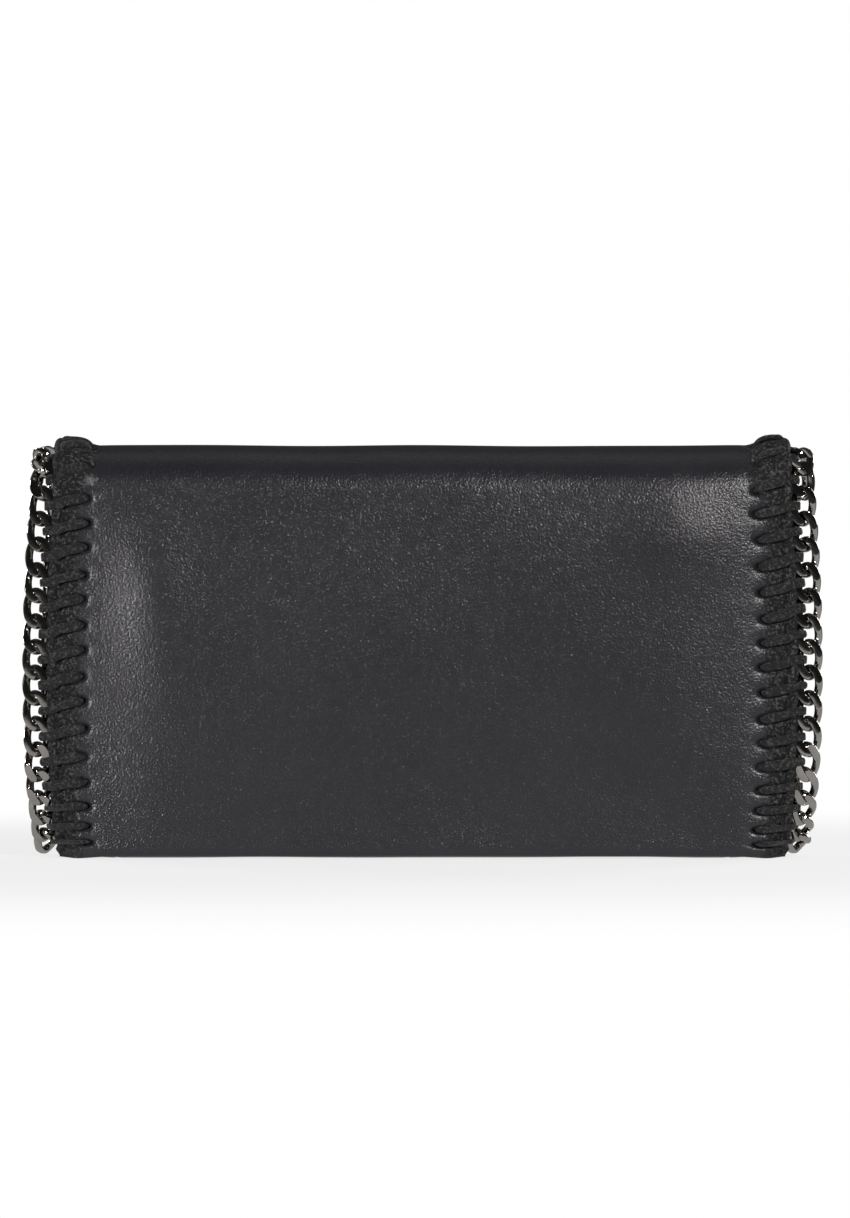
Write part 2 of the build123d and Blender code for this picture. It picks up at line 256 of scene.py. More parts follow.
def chord_matrix(number):
    """Placement of a fold segment's local frame: x across, y inward, z up the chain, in millimetres."""
    angle = STEP * (number - 0.5)
    centre = Vector((0, MID_Y + APOTHEM * math.cos(angle), TOP_Z + APOTHEM * math.sin(angle)))
    return Matrix.Translation(centre) @ Matrix.Rotation(angle - math.pi, 4, "X")


def transform(points, matrix):
    """Apply a 4x4 matrix to an array of points."""
    m = np.array(matrix, float)
    return points @ m[:3, :3].T + m[:3, 3]


def smooth_path(points, steps):
    """Catmull-Rom through the points, at even parameter steps."""
    points = np.asarray(points, float)
    padded = np.concatenate([[2 * points[0] - points[1]], points, [2 * points[-1] - points[-2]]])
    result = []
    for t in np.linspace(0, len(points) - 1 - 1e-6, steps):
        i = int(t)
        f = t - i
        p0, p1, p2, p3 = padded[i:i + 4]
        a = 2 * p1
        b = (p2 - p0) * f
        c = (2 * p0 - 5 * p1 + 4 * p2 - p3) * f * f
        d = (3 * p1 - p0 - 3 * p2 + p3) * f**3
        result.append((a + b + c + d) / 2)
    return np.array(result)


# ---------------------------------------------------------------- mesh helpers
def new_object(name, verts, faces, look, sharp=40):
    """A smooth-shaded object from millimetre vertices, with normals made consistent."""
    mesh = bpy.data.meshes.new(name)
    mesh.from_pydata((np.asarray(verts, float).reshape(-1, 3) * MM).tolist(), [], faces)
    work = bmesh.new()
    work.from_mesh(mesh)
    bmesh.ops.remove_doubles(work, verts=work.verts, dist=1e-7)
    bmesh.ops.recalc_face_normals(work, faces=work.faces)
    work.to_mesh(mesh)
    work.free()
    mesh.polygons.foreach_set("use_smooth", [True] * len(mesh.polygons))
    mesh.set_sharp_from_angle(angle=math.radians(sharp))
    obj = bpy.data.objects.new(name, mesh)
    bpy.context.scene.collection.objects.link(obj)
    mesh.materials.append(look[0])
    return obj


def loft(rings, caps=True):
    """Faces of a skin over closed rings, an array of rings x points x 3, with end caps."""
    count, size = rings.shape[:2]
    faces = []
    for a in range(0, (count - 1) * size, size):
        for i in range(size):
            j = (i + 1) % size
            faces.append((a + i, a + j, a + size + j, a + size + i))
    if caps:
        faces.append(tuple(range(size))[::-1])
        faces.append(tuple(range((count - 1) * size, count * size)))
    return faces


def flat_loft(rings):
    """A loft whose rings are flat loops, its ends sewn across as a strip of quads."""
    count, size = rings.shape[:2]
    faces = loft(rings, caps=False)
    for base in (0, (count - 1) * size):
        for i in range(size // 2 - 1):
            faces.append((base + i, base + i + 1, base + size - 2 - i, base + size - 1 - i))
    return faces


def band(first, second):
    """A closed loop: out along one row of points and back along the other."""
    return np.concatenate([np.stack(first, -1), np.stack(second, -1)[::-1]])


def at_height(loop, z):
    """A loop of (x, y) points, at height z."""
    return np.column_stack([loop, np.full(len(loop), z)])


def at_width(loop, x):
    """A loop of (y, z) points, at width x."""
    return np.column_stack([np.full(len(loop), x), loop])


class Pieces:
    """Collects several separate lofts into one mesh."""

    def __init__(self):
        self.verts = []
        self.faces = []
        self.count = 0

    def add(self, verts, faces):
        verts = np.asarray(verts, float).reshape(-1, 3)
        self.faces += [tuple(self.count + i for i in face) for face in faces]
        self.verts.append(verts)
        self.count += len(verts)

    def add_loft(self, rings):
        rings = np.array(rings)
        self.add(rings, loft(rings))

    def make(self, name, look, sharp=40):
        return new_object(name, np.concatenate(self.verts), self.faces, look, sharp)

    def settle(self, name, look, body, *nodes, sharp=40):
        settle(self.make(name, look, sharp), look, body, *nodes)


def settle(obj, look, body, *nodes):
    """Ride on a body and stand for CAD nodes."""
    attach(obj, body)
    take_place(obj, look, *nodes)
    return obj


def take_place(obj, look, *nodes):
    if nodes:
        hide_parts(*nodes)


def loft_piece(name, rings, look, body, *nodes):
    return settle(new_object(name, rings, loft(rings), look), look, body, *nodes)


def bmesh_arrays(work):
    """The vertices and faces of a working mesh, which is then freed. The faces come in a fixed order."""
    work.verts.ensure_lookup_table()
    verts = np.array([v.co[:] for v in work.verts])
    faces = [tuple(v.index for v in f.verts) for f in work.faces]
    work.free()
    return verts, sorted(face[face.index(min(face)):] + face[:face.index(min(face))] for face in faces)


# ---------------------------------------------------------------- stitches, shared by the skin and the laces
rng = random.Random(7)
STITCHES = {}
for side in (-1, 1):
    for k in range(-LINKS_ON_FOLD, LINKS_ON_FLAP):
        z = height_at(k + 0.5) if k >= 0 else TOP_Z + 4
        fade = 1 - 0.75 * float(rise(k, 7, 6))
        STITCHES[side, k] = {
            "x": float(chain_x(z)) - HOLE_IN + rng.uniform(-0.35, 0.35),
            "lean": side * -LEAN * fade * rng.uniform(0.75, 1.15),
            "wide": rng.uniform(0.92, 1.12),
            "high": rng.uniform(-0.1, 0.15),
        }


def stitch_relief(x, c):
    """Dents at the stitch holes, the pull round each one and the crease under each stitch."""
    relief = np.zeros(np.broadcast(x, c).shape)
    for (side, k), stitch in STITCHES.items():
        along = (c - (k + 0.5)) * PITCH + stitch["lean"]
        near = np.abs(along) < 5
        if not near.any():
            continue
        across = x * side - stitch["x"]
        relief -= HOLE_DENT * bell(across, -0.45, 0.95) * bell(along, 0, 0.8) * near
        relief -= HOLE_PULL * bell(across, 0.3, 2.6) * bell(along, 0, 1.9) * near
        slant = along - stitch["lean"] * np.clip(across / HOLE_IN, 0, 1)
        relief -= STITCH_CREASE * np.exp(-((slant / 1.3) ** 4)) * rise(across, -0.5, 1.5) * near
    return relief


# ---------------------------------------------------------------- materials, in metres
NAP_BAND = (0.0815, 0.0845)  # the nap starts between these distances from the middle
NAP_CLIMB = (0.083, 0.098, 0.0, 0.0042)  # and comes in further between these heights, by this much
NAP_RAGGED = 0.003


class Shader:
    """A node tree, with short ways to add nodes and to join them."""

    def __init__(self, owner):
        owner.use_nodes = True
        self.nodes, self.links = owner.node_tree.nodes, owner.node_tree.links

    def fill(self, made, values):
        """Set a node's inputs or properties by name."""
        for key, value in values.items():
            label = key.replace("_", " ")
            if label in made.inputs:
                made.inputs[label].default_value = value
            else:
                setattr(made, key, value)
        return made

    def add(self, kind, **values):
        return self.fill(self.nodes.new("ShaderNode" + kind), values)

    def join(self, source, target, socket=0):
        self.links.new(source, target.inputs[socket])
        return target

    def coords(self):
        return self.add("TexCoord").outputs["Object"]

    def noise(self, coords, scale, detail, rough):
        made = self.add("TexNoise", Scale=scale, Detail=detail, Roughness=rough)
        return self.join(coords, made, "Vector").outputs["Fac"]

    def ramp(self, source, low, high, low_at, high_at):
        """A colour ramp between two colours, or two greys, fed by a value."""
        made = self.add("ValToRGB")
        for element, position, colour in zip(made.color_ramp.elements, (low_at, high_at), (low, high)):
            element.position = position
            element.color = (*(colour if isinstance(colour, tuple) else (colour,) * 3), 1)
        return self.join(source, made, "Fac").outputs["Color"]

    def spread(self, value, start, stop, low=0.0, high=1.0, kind="LINEAR"):
        """A value that goes from low to high as another goes from start to stop."""
        made = self.add("MapRange", interpolation_type=kind, From_Min=start, From_Max=stop, To_Min=low, To_Max=high)
        return self.join(value, made, "Value").outputs["Result"]

    def multiply(self, first, second, **values):
        made = self.add("MixRGB", blend_type="MULTIPLY", **values)
        self.join(first, made, "Color1")
        return (self.join(second, made, "Color2") if second else made).outputs["Color"]

    def bumps(self, bsdf, layers):
        """Bumps on top of each other: each layer is (height socket, strength, distance in metres)."""
        normal = None
        for height, strength, distance in layers:
            bump = self.join(height, self.add("Bump", Strength=strength, Distance=distance), "Height")
            if normal:
                self.join(normal, bump, "Normal")
            normal = bump.outputs["Normal"]
        self.join(normal, bsdf, "Normal")


def new_material(name, **values):
    """A material, its tree and its shader, with constant values on the shader's sockets."""
    material = bpy.data.materials.new(name)
    shader = Shader(material)
    return material, shader, shader.fill(shader.nodes["Principled BSDF"], values)


def leather_material(name, dark, light, roughness):
    """Smooth matt leather: fine pebbled grain, faint mottling and small pale specks."""
    material, shader, bsdf = new_material(name)
    coords = shader.coords()
    broad = shader.noise(coords, 320, 4, 0.6)
    speck = shader.noise(coords, 2300, 2, 0.6)
    pores = shader.join(coords, shader.add("TexVoronoi", Scale=1700.0), "Vector").outputs["Distance"]
    base = shader.ramp(shader.noise(coords, 55, 6, 0.6), dark, light, 0.3, 0.75)
    specks = shader.ramp(speck, 0, 1, 0.6, 0.78)
    spots = shader.multiply(specks, None, Fac=1.0, Color2=(0.012, 0.012, 0.012, 1))
    mix = shader.add("MixRGB", blend_type="SCREEN", Fac=1.0)
    shader.join(base, mix, "Color1")
    shader.join(spots, mix, "Color2")
    shader.join(mix.outputs["Color"], bsdf, "Base Color")
    shader.join(shader.ramp(broad, *roughness, 0.3, 0.7), bsdf, "Roughness")
    shader.bumps(bsdf, [(broad, 0.2, 0.0002), (pores, 0.25, 0.0002), (speck, 0.6, 0.0002)])
    return material


def shell_material(name, *leather):
    """The shell's leather: smooth in the middle, darker and napped in the laced bands at both edges."""
    material = leather_material(name, *leather)
    shader = Shader(material)
    nap = shader.add("BsdfPrincipled", Roughness=0.85, Specular_IOR_Level=0.25)
    coords = shader.coords()
    fibre = shader.noise(coords, 2600, 4, 0.75)
    patch = shader.noise(coords, 260, 4, 0.65)
    fleck = shader.noise(coords, 1300, 3, 0.75)
    shader.join(shader.ramp(fleck, (0.008, 0.008, 0.009), (0.13, 0.126, 0.128), 0.50, 0.74), nap, "Base Color")
    shader.bumps(nap, [(patch, 0.6, 0.0006), (fleck, 0.8, 0.0004), (fibre, 0.6, 0.00015)])
    split = shader.join(coords, shader.add("SeparateXYZ"), "Vector")
    away = shader.join(split.outputs["X"], shader.add("Math", operation="ABSOLUTE"))
    ragged = shader.join(patch, shader.add("Math", operation="MULTIPLY_ADD"))
    ragged.inputs[1].default_value = NAP_RAGGED
    shader.join(away.outputs[0], ragged, 2)
    climb = shader.spread(split.outputs["Z"], *NAP_CLIMB)
    reach = shader.join(ragged.outputs[0], shader.add("Math", operation="ADD"))
    shader.join(climb, reach, 1)
    both = shader.join(shader.spread(reach.outputs[0], *NAP_BAND), shader.add("MixShader"), "Fac")
    shader.join(shader.nodes["Principled BSDF"].outputs["BSDF"], both, 1)
    shader.join(nap.outputs["BSDF"], both, 2)
    shader.join(both.outputs["Shader"], shader.nodes["Material Output"], "Surface")
    return material


def suede_material(name):
    """Napped suede thong: nearly black, with brighter rubbed fibres."""
    material, shader, bsdf = new_material(
        name, Roughness=0.8, Specular_IOR_Level=0.3, Sheen_Weight=0.08, Sheen_Roughness=0.5)
    coords = shader.coords()
    fibre = shader.noise(coords, 3000, 5, 0.8)
    patch = shader.noise(coords, 420, 4, 0.6)
    fleck = shader.noise(coords, 1400, 3, 0.75)
    shader.join(shader.ramp(fleck, 0.007, (0.095, 0.095, 0.092), 0.50, 0.76), bsdf, "Base Color")
    shader.bumps(bsdf, [(patch, 0.7, 0.0006), (fleck, 0.7, 0.0003), (fibre, 0.7, 0.0002)])
    return material


def metal_material(name, tint, roughness):
    """Polished plated metal with faint scuffs."""
    material, shader, bsdf = new_material(name, Metallic=1.0)
    coords = shader.coords()
    cloud = shader.noise(coords, 300, 4, 0.6)
    shader.join(shader.ramp(cloud, tuple(0.82 * v for v in tint), tint, 0.35, 0.65), bsdf, "Base Color")
    shader.join(shader.ramp(cloud, *roughness, 0.35, 0.7), bsdf, "Roughness")
    shader.bumps(bsdf, [(shader.noise(coords, 2500, 2, 0.5), 0.02, 0.0001)])
    return material


def woven_material(name, dark, light, pitch, roughness):
    """Plain woven cloth: two crossed sets of threads."""
    material, shader, bsdf = new_material(name, Roughness=roughness, Sheen_Weight=0.15)
    coords = shader.coords()
    weave = shader.add("Math", operation="MULTIPLY")
    for index, axis in enumerate(("X", "Z")):
        wave = shader.add("TexWave", Scale=0.314 / pitch, Distortion=0.6, Detail=2.0, bands_direction=axis)
        shader.join(shader.join(coords, wave, "Vector").outputs["Fac"], weave, index)
    colour = shader.ramp(weave.outputs[0], dark, light, 0.05, 0.8)
    tint = shader.ramp(shader.noise(coords, 90, 4, 0.6), 0.7, 1, 0.3, 0.7)
    shader.join(shader.multiply(colour, tint, Fac=0.5), bsdf, "Base Color")
    shader.bumps(bsdf, [(weave.outputs[0], 0.5, 0.0001)])
    return material


def look(make, name, *values):
    """A material and the slot of the same name."""
    return make(name, *values), name


SHELL = look(shell_material, "shell_leather", (0.0160, 0.0155, 0.0190), (0.0205, 0.0198, 0.0241), (0.22, 0.27))
BODY = look(leather_material, "body_leather", (0.012, 0.0115, 0.0125), (0.020, 0.019, 0.021), (0.32, 0.42))
SUEDE = look(suede_material, "suede_lace")
CHAIN = look(metal_material, "chain_metal", (0.47, 0.45, 0.425), (0.05, 0.12))
SNAP = look(metal_material, "snap_metal", (0.33, 0.32, 0.30), (0.2, 0.32))
ZIP_METAL = look(metal_material, "zip_metal", (0.38, 0.37, 0.35), (0.14, 0.25))
CLOTH = look(woven_material, "lining_fabric", (0.012, 0.012, 0.013), (0.045, 0.044, 0.048), 0.0006, 0.75)
TAPE = look(woven_material, "zip_fabric", 0.008, 0.03, 0.0008, 0.85)
BOARD = look(woven_material, "board", (0.25, 0.2, 0.15), (0.4, 0.34, 0.27), 0.002, 0.9)
THREAD = woven_material("thread", 0.01, 0.05, 0.0004, 0.7), None


# ---------------------------------------------------------------- the shell's leather skin
def section():
    """Half of the sheet's cross-section, from the middle out: shares of the width, then distances from the edge."""
    centre = np.linspace(0, 1, CENTRE_COLUMNS // 2 + 1)[:-1]
    zone = np.concatenate([np.linspace(EDGE_ZONE, 2.6, 36)[:-1], np.linspace(2.6, 0.9, 8)])
    arc = ROLL * (1 - np.cos(np.linspace(math.pi / 2, 0, 9)))[1:]
    return centre, np.concatenate([zone, arc[arc < 0.9]])


def edge_heights(d):
    """Outer and inner height of the sheet at distance d from its rolled edge."""
    d = np.asarray(d, float)
    round_off = np.sqrt(np.clip(ROLL**2 - np.clip(ROLL - d, 0, None) ** 2, 0, None))
    groove = OUT - GROOVE * bell(d, GROOVE_IN, GROOVE_REACH)
    outer = np.where(d < ROLL, ROLL_N + round_off, np.maximum(groove, ROLL_N + ROLL - 0.75 * (d - ROLL)))
    inner = np.where(d < ROLL, ROLL_N - round_off, np.minimum(OUT - LEATHER, ROLL_N - ROLL + 0.9 * (d - ROLL)))
    return outer, inner


def edge_swell(c):
    """The leather's edge swells between the links' bars, where two links cross."""
    return EDGE_SWELL * (0.5 + 0.5 * np.cos(2 * math.pi * c)) ** 1.5


def half_width(z):
    """Half the flap's width at height z, with its rounded lower corners."""
    z = np.asarray(z, float)
    drop = np.clip(LOW_CORNER - (z - 0.1), 0, LOW_CORNER)
    rounding = LOW_CORNER - np.sqrt(np.clip(LOW_CORNER**2 - drop**2, 0, None))
    return chain_x(z) - EDGE_IN + edge_swell(pitch_at(z)) - rounding


def ring_layout(width):
    """x and distance from the edge, from one edge to the other."""
    centre, zone = section()
    right = np.concatenate([centre * (width - EDGE_ZONE), width - zone])
    x = np.concatenate([-right[:0:-1], right])
    return x, width - np.abs(x)


def low_waves(x, c):
    """Slow, uneven swelling of the soft leather."""
    wave = 0.16 * np.sin(x / 23.0 + 0.7) * np.sin(c / 2.3 + 0.4)
    wave += 0.11 * np.sin(x / 12.5 + c / 3.1 + 2.0)
    wave += 0.07 * np.sin(x / 7.3 - c / 1.3)
    return wave * smooth((84 - np.abs(x)) / 14)


def dome(x, z, place):
    return bell(x, *place[0]) * bell(z, *place[1])


def puff(x, c):
    """The flap stands proud in the middle and is pulled down along the stitches and towards the fold."""
    z = TOP_Z - c * PITCH
    upper = 0.2 + 0.8 * rise(z, 0, LEFT_FALL_CHANGES)
    left = 1 - upper * rise(-x, *LEFT_FALL) - (1 - upper) * rise(-x, *LEFT_FALL_LOW)
    right = 1 - 0.6 * rise(x, *RIGHT_FALL) - 0.4 * rise(x, *RIGHT_FALL_STEEP)
    t = np.clip((c - TOP_FALL_FROM) / (TOP_FALL - TOP_FALL_LESS * rise(x, -5.0, 50.0)), 0, 1)
    down = 1 - (1 - t) ** 3 * (1 + 3 * t)
    low = 0.3 + 0.7 * rise(z, 0, LOW_FALL)
    return PUFF * left * right * down * low + dome(x, z, LEFT_DOME) + RIGHT_DOME_HIGH * dome(x, z, RIGHT_DOME)


def hump_at(x, c):
    """The corners stand up where the fold's lacing bunches the leather."""
    return HUMP * rise(np.abs(x), *HUMP_SIDE) * rise(-c, -0.5, 1.5) * rise(c, -LINKS_ON_FOLD - 0.5, 1.5)


def outer_relief(x, c, distance):
    """All that the outer face has on top of the sheet. Under a hump the groove is filled in."""
    inside = rise(distance, *RELIEF_IN)
    hump = hump_at(x, c)
    hump = hump * rise(distance, -0.8, 1.4) + GROOVE * hump / HUMP * bell(distance, GROOVE_IN, GROOVE_REACH)
    return (stitch_relief(x, c) + low_waves(x, c) + puff(x, c)) * inside + hump


def skin_ring(width, c, turned=1.0):
    """One cross-section loop of the shell: x and n for the outside, then the inside back again."""
    x, distance = ring_layout(width)
    outer, inner = edge_heights(distance)
    outer = outer + outer_relief(x, c, distance)
    middle = OUT - LEATHER / 2
    outer = middle + (outer - middle) * turned
    inner = middle + (inner - middle) * turned
    return np.concatenate([x, x[-2:0:-1]]), np.concatenate([outer, inner[-2:0:-1]])


def flap_skin():
    """The flap from half a pitch below the fold's front pivot to its turned lower edge."""
    heights = list(np.linspace(SKIN_TOP, FLAP_LOW + LOW_ZONE, 215))
    heights += list(np.linspace(FLAP_LOW + LOW_ZONE, FLAP_LOW + LOW_ROUND, 9))[1:]
    heights += [FLAP_LOW + LOW_ROUND * (1 - math.sin(a)) for a in np.linspace(0.2, math.pi / 2 - 0.02, 6)]
    rings = []
    for z in heights:
        turned = math.sqrt(max(1 - max(0.0, (FLAP_LOW + LOW_ROUND - z) / LOW_ROUND) ** 2, 0.02))
        x, n = skin_ring(float(half_width(z)), float(pitch_at(z)), turned)
        n = n - LOW_THIN * float(smooth((FLAP_LOW + 2.4 - z) / 2.4)) ** 1.5
        drop = LOW_SAG * rise(np.abs(x), 74, 10) * smooth((14 - z) / 14)
        rings.append(on_flap(x, z - drop, n))
    rings = np.array(rings)
    obj = new_object("flap_skin", rings, flat_loft(rings), SHELL)
    settle(obj, SHELL, "flap", "flap_leather", "edge_cord_left", "edge_cord_right")


def fold_blend(obj, number, look, kind):
    """Bake a fold piece's placement into its mesh and let it stand for its CAD node. The sixth one, next to the flap,
    stands for no CAD node.
    """
    def middle(segment):
        if segment == 0:
            return Vector((0, BACK_Y, SKIN_TOP))
        if segment == 6:
            return Vector((0, FLAP_Y, SKIN_TOP))
        return chord_matrix(segment).translation

    start, end = middle(number - 1) * MM, middle(number) * MM
    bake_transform(obj)
    take_place(obj, look, *([f"{kind}_{number}"] if number < 6 else []))


def fold_span(number):
    """Pitch counts across fold piece 1 (at the back) to 6 (at the front)."""
    front = number - 5.5
    return np.linspace(front, front - 1.0, 15)


def fold_skin():
    width = float(half_width(SKIN_TOP))
    for number in range(1, 7):
        rings = []
        for c in fold_span(number):
            x, n = skin_ring(width + float(edge_swell(c)), c)
            rings.append(place_row(x, c, n))
        rings = np.array(rings)
        obj = new_object(f"fold_skin_{number}", rings, flat_loft(rings), SHELL)
        fold_blend(obj, number, SHELL, "fold_leather")


def back_skin():
    """Back panel and base: one leather sheet round the rear bottom edge and up the front lip."""
    width = float(half_width(SKIN_TOP))
    back = box_mm("back_panel")[1].y
    tray = box_mm("base_panel")[0]
    radius_back = 4.5
    radius_front = 5.0
    corner = 7.0
    path = [(back, z) for z in np.linspace(SKIN_TOP, tray.z + radius_back, 60)]
    for a in np.linspace(0, math.pi / 2, 9)[1:]:
        path.append((back - radius_back * (1 - math.cos(a)), tray.z + radius_back * (1 - math.sin(a))))
    path += [(y, tray.z) for y in np.linspace(back - radius_back, tray.y + radius_front, 12)[1:]]
    for a in np.linspace(math.pi / 2, math.radians(12), 9)[1:]:
        path.append((tray.y + radius_front * (1 - math.cos(a)), tray.z + radius_front * (1 - math.sin(a))))
    path = np.array(path)
    tangent = unit(np.gradient(path, axis=0))
    inward = np.stack([tangent[:, 1], -tangent[:, 0]], -1)
    run = np.concatenate([[0], np.cumsum(np.linalg.norm(np.diff(path, axis=0), axis=1))])
    rings = []
    for point, into, length in zip(path, inward, run):
        low = max(0.0, corner - point[1]) if point[0] > 0 else corner
        narrow = width - (1 - math.sqrt(max(0.0, 1 - (low / corner) ** 2))) * 3.0
        narrow -= 12.0 * float(smooth((tray.y + 16 - point[0]) / 16)) * (low > 0)
        x, n = skin_ring(narrow, -LINKS_ON_FOLD - 0.5 - length / PITCH)
        n = OUT - n
        rings.append(np.stack([x, point[0] + into[0] * n, point[1] + into[1] * n], -1))
    rings = np.array(rings)
    rings[:, :, 2] = np.maximum(rings[:, :, 2], tray.z)
    obj = new_object("back_skin", rings, flat_loft(rings), SHELL)
    settle(obj, SHELL, "shell", "back_panel", "base_panel")


# ---------------------------------------------------------------- laces
def lace_route(side, k, bar, skin):
    """Control points (x, along the chain, n) of one stitch: out of its hole, over the edge, round the bar."""
    stitch = STITCHES[side, k]
    hole = stitch["x"]
    lean = stitch["lean"]
    top = skin + LACE_THICK + stitch["high"]
    over = [
        (hole - 0.25, lean, skin - 1.5),
        (hole + 0.15, lean, skin - 0.35),
        (hole + 1.1, lean * 0.92, top - 0.15),
        (hole + 3.0, lean * 0.74, top),
        (hole + 5.2, lean * 0.5, top + 0.1),
        (bar - 2.2, lean * 0.22, top - 0.1),
    ]
    wrap = [
        (bar - 0.8, lean * 0.06, 1.6),
        (bar + 0.8, 0.0, 1.25),
        (bar + 1.25, 0.0, 0.1),
        (bar + 0.8, 0.0, -1.25),
        (bar - 0.5, 0.1, -1.55),
        (bar - 1.5, 0.3, -1.0),
        (bar - 2.2, 0.5, -0.1),
    ]
    over = [(x, a, n + float(hump_at(x, k + 0.5))) for x, a, n in over]
    return [(side * x, a, n) for x, a, n in over + wrap], stitch["wide"]


def lace_rings(points, wide, seed):
    """A flattened, slightly ragged tube along a stitch; points are (x, along, n)."""
    path = smooth_path(points, LACE_STEPS)
    tangent = unit(np.gradient(path, axis=0))
    along = np.array([0.0, 1.0, 0.0])
    local = random.Random(seed)
    phase = local.uniform(0, 6.28)
    rings = []
    for index, (point, forward) in enumerate(zip(path, tangent)):
        t = index / (LACE_STEPS - 1)
        broad = unit(along - forward * (along @ forward))
        up = np.cross(forward, broad)
        pinch = 0.42 + 0.58 * float(smooth(t / 0.2))
        wrap = float(rise(t, 0.42, 0.16))
        width = LACE_WIDE * wide * pinch * (1 + 0.05 * math.sin(11 * t + phase)) * (1 - 0.12 * wrap)
        thick = LACE_THICK * (1 + 0.12 * math.sin(7 * t + 2 * phase)) * (1 - 0.25 * wrap)
        ring = []
        for i in range(LACE_RING):
            a = 2 * math.pi * i / LACE_RING
            u = power(math.cos(a), 0.75) * width
            v = power(math.sin(a), 0.85) * thick + 0.07 * math.sin(3 * a + 17 * t + phase)
            rough = 0.035 * local.uniform(-1, 1)
            ring.append(point + broad * (u + rough) + up * (v + rough))
        rings.append(ring)
    return np.array(rings)


def flap_laces():
    for side, name in SIDES:
        pieces = Pieces()
        for k in range(LINKS_ON_FLAP):
            z = height_at(k + 0.5)
            points, wide = lace_route(side, k, float(chain_x(z)) - LINK_A, OUT)
            rings = lace_rings(points, wide, 100 * k + side)
            if k < 9:
                heights = np.vectorize(lambda a: height_at(k + 0.5 - a / PITCH))(rings[:, :, 1])
            else:
                heights = z + rings[:, :, 1] * math.cos(float(tail_turn(z)))
            pieces.add_loft(on_flap(rings[:, :, 0], heights, rings[:, :, 2]))
        pieces.settle(f"laces_{name}_suede", SUEDE, "flap", f"laces_{name}", sharp=80)


def fold_laces():
    for number in range(1, 6):
        pieces = Pieces()
        for side in (-1, 1):
            points, wide = lace_route(side, number - 6, CHAIN_X_END - LINK_A, OUT - 0.15)
            rings = lace_rings(points, wide, 900 + 10 * number + side)
            local = np.stack([rings[:, :, 0], -rings[:, :, 2], rings[:, :, 1]], -1)
            pieces.add_loft(transform(local, chord_matrix(number)))
        pieces.settle(f"fold_laces_{number}_suede", SUEDE, f"fold_{number}", f"fold_laces_{number}", sharp=80)


# ---------------------------------------------------------------- chain
def link_mesh():
    """One curb link: round wire along a twisted oval, ground flat on both faces, with eased edges."""
    steps, sides = 72, 16
    t = np.linspace(0, 2 * math.pi, steps, endpoint=False)
    path = np.stack([LINK_A * np.cos(t), -LINK_H * np.sin(2 * t), LINK_B * np.sin(t)], -1)
    tangent = unit(np.stack([-LINK_A * np.sin(t), -2 * LINK_H * np.cos(2 * t), LINK_B * np.cos(t)], -1))
    work = bmesh.new()
    for point, forward in zip(path, tangent):
        across = unit(np.cross(forward, (0.0, 1.0, 0.0)))
        up = np.cross(across, forward)
        for ca, sa in around(sides):
            work.verts.new(point + WIRE_R * (ca * across + sa * up))
    work.verts.ensure_lookup_table()
    for row in range(steps):
        a, b = row * sides, ((row + 1) % steps) * sides
        for i in range(sides):
            j = (i + 1) % sides
            work.faces.new([work.verts[index] for index in (a + i, a + j, b + j, b + i)])
    for sign in (-1, 1):
        cut = bmesh.ops.bisect_plane(
            work, geom=work.verts[:] + work.edges[:] + work.faces[:], dist=1e-5,
            plane_co=(0, sign * LINK_FLAT, 0), plane_no=(0, sign, 0), clear_outer=True)
        rim = [item for item in cut["geom_cut"] if isinstance(item, bmesh.types.BMEdge)]
        bmesh.ops.holes_fill(work, edges=rim, sides=0)
    bmesh.ops.recalc_face_normals(work, faces=work.faces)
    edges = [e for e in work.edges if len(e.link_faces) == 2 and e.calc_face_angle(0) > math.radians(24)]
    bmesh.ops.bevel(work, geom=edges, offset=0.09, segments=2, profile=0.6, affect="EDGES")
    bmesh.ops.triangulate(work, faces=[f for f in work.faces if len(f.verts) > 4])
    return bmesh_arrays(work)


LINK_TURN = 5  # degrees by which links may lie askew, on the flap and on the fold
FOLD_LINK_TURN = 8


def jitter(generator, amount):
    """A small random turn, so that neighbouring links catch the light differently."""
    turn = Matrix.Rotation(math.radians(generator.uniform(-1, 1) * amount), 4, "Z")
    turn = turn @ Matrix.Rotation(math.radians(generator.uniform(-0.6, 0.6) * amount), 4, "Y")
    return turn @ Matrix.Rotation(math.radians(generator.uniform(-0.5, 0.5) * amount), 4, "X")


def chains():
    verts, faces = link_mesh()
    generator = random.Random(21)
    for side, name in SIDES:
        pieces = Pieces()
        for k in range(LINKS_ON_FLAP):
            z = height_at(k + 0.5)
            place = Matrix.Translation((side * float(chain_x(z)), FLAP_Y + float(tail_back(z)), z))
            place = place @ Matrix.Rotation(float(tail_turn(z)), 4, "X") @ jitter(generator, LINK_TURN)
            pieces.add(transform(verts, place), faces)
        pieces.settle(f"chain_{name}_links", CHAIN, "flap", f"chain_{name}", sharp=22)
    for number in range(1, 6):
        pieces = Pieces()
        for side in (-1, 1):
            place = chord_matrix(number) @ Matrix.Translation((side * CHAIN_X_END, 0, 0))
            pieces.add(transform(verts, place @ jitter(generator, FOLD_LINK_TURN)), faces)
        pieces.settle(f"fold_chain_{number}_links", CHAIN, f"fold_{number}", f"fold_chain_{number}", sharp=22)


